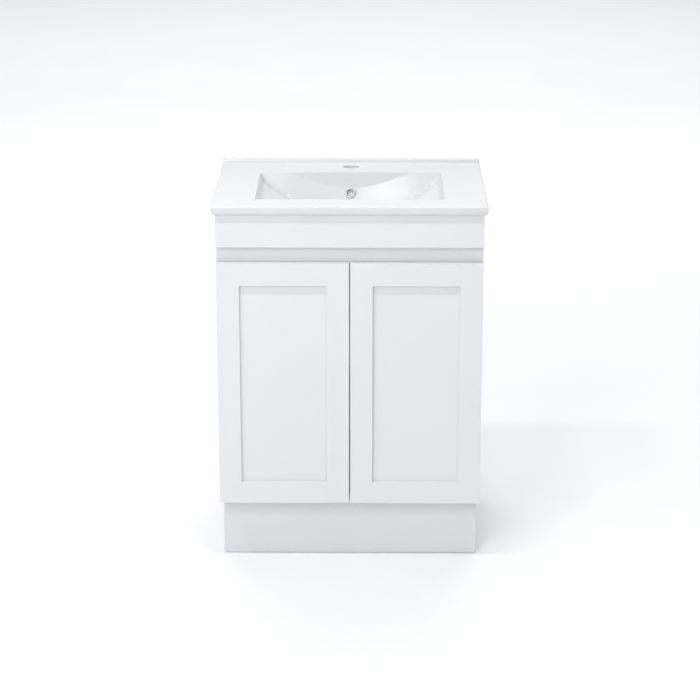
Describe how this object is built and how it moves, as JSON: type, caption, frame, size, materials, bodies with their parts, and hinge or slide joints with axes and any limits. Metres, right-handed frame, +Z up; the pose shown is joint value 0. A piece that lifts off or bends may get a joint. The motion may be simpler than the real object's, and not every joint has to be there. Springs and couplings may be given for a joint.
{
  "type": "bathroom vanity cabinet",
  "caption": "Floor-standing bathroom vanity cabinet: ceramic top with a sunk rectangular basin, shaker doors on concealed hinges, finger channel and recessed plinth.",
  "frame": {"origin": "on the floor, under the middle of the cabinet's footprint", "axes": "+X to the cabinet's right as seen from the front, +Y back towards the wall, +Z up; the doors face -Y"},
  "size_m": [0.6, 0.46, 0.831],
  "materials": {
    "glazed_top": "white gloss glaze",
    "cabinet_paint": "cool white satin paint on MDF",
    "board_facing": "white melamine-faced board",
    "chrome": "polished",
    "nickel_steel": "nickel-plated, fine grained",
    "bumper_rubber": "clear soft"
  },
  "bodies": {
    "root": {"vanity_top": "glazed_top", "overflow_ring": "chrome", "side_panel_left": "cabinet_paint", "side_panel_right": "cabinet_paint", "bottom_panel": "board_facing", "fascia": "cabinet_paint", "channel_back": "cabinet_paint", "channel_ledge": "cabinet_paint", "rear_top_rail": "board_facing", "back_panel": "board_facing", "shelf": "board_facing", "shelf_pin_left_front": "nickel_steel", "shelf_pin_left_rear": "nickel_steel", "shelf_pin_right_front": "nickel_steel", "shelf_pin_right_rear": "nickel_steel", "kickboard": "cabinet_paint", "plinth_side_left": "cabinet_paint", "plinth_side_right": "cabinet_paint", "plinth_rear_rail": "board_facing", "hinge_plate_left_upper": "nickel_steel", "hinge_plate_left_lower": "nickel_steel", "hinge_plate_right_upper": "nickel_steel", "hinge_plate_right_lower": "nickel_steel", "hinge_arm_left_upper": "nickel_steel", "hinge_arm_left_lower": "nickel_steel", "hinge_arm_right_upper": "nickel_steel", "hinge_arm_right_lower": "nickel_steel"},
    "left_links": {"hinge_link_left_upper": "nickel_steel", "hinge_link_left_lower": "nickel_steel"},
    "left_door": {"door_left_hinge_stile": "cabinet_paint", "door_left_meeting_stile": "cabinet_paint", "door_left_top_rail": "cabinet_paint", "door_left_bottom_rail": "cabinet_paint", "door_left_panel": "cabinet_paint", "door_bumper_left_upper": "bumper_rubber", "door_bumper_left_lower": "bumper_rubber", "hinge_cup_left_upper": "nickel_steel", "hinge_cup_left_lower": "nickel_steel"},
    "right_links": {"hinge_link_right_upper": "nickel_steel", "hinge_link_right_lower": "nickel_steel"},
    "right_door": {"door_right_hinge_stile": "cabinet_paint", "door_right_meeting_stile": "cabinet_paint", "door_right_top_rail": "cabinet_paint", "door_right_bottom_rail": "cabinet_paint", "door_right_panel": "cabinet_paint", "door_bumper_right_upper": "bumper_rubber", "door_bumper_right_lower": "bumper_rubber", "hinge_cup_right_upper": "nickel_steel", "hinge_cup_right_lower": "nickel_steel"}
  },
  "joints": [
    {"name": "left_link_swing", "type": "hinge", "parent": "root", "child": "left_links", "pos_m": [-0.261, -0.208, 0.418], "axis": [0, 0, -1], "range_deg": [-50, 0]},
    {"name": "left_door_swing", "type": "hinge", "parent": "left_links", "child": "left_door", "pos_m": [-0.279, -0.207, 0.418], "axis": [0, 0, -1], "range_deg": [0, 155]},
    {"name": "right_link_swing", "type": "hinge", "parent": "root", "child": "right_links", "pos_m": [0.261, -0.208, 0.418], "axis": [0, 0, 1], "range_deg": [-50, 0]},
    {"name": "right_door_swing", "type": "hinge", "parent": "right_links", "child": "right_door", "pos_m": [0.279, -0.207, 0.418], "axis": [0, 0, 1], "range_deg": [0, 155]}
  ],
  "couplings": [
    {"joint": "left_link_swing", "follows": "left_door_swing", "ratio": -0.32258},
    {"joint": "right_link_swing", "follows": "right_door_swing", "ratio": -0.32258}
  ]
}
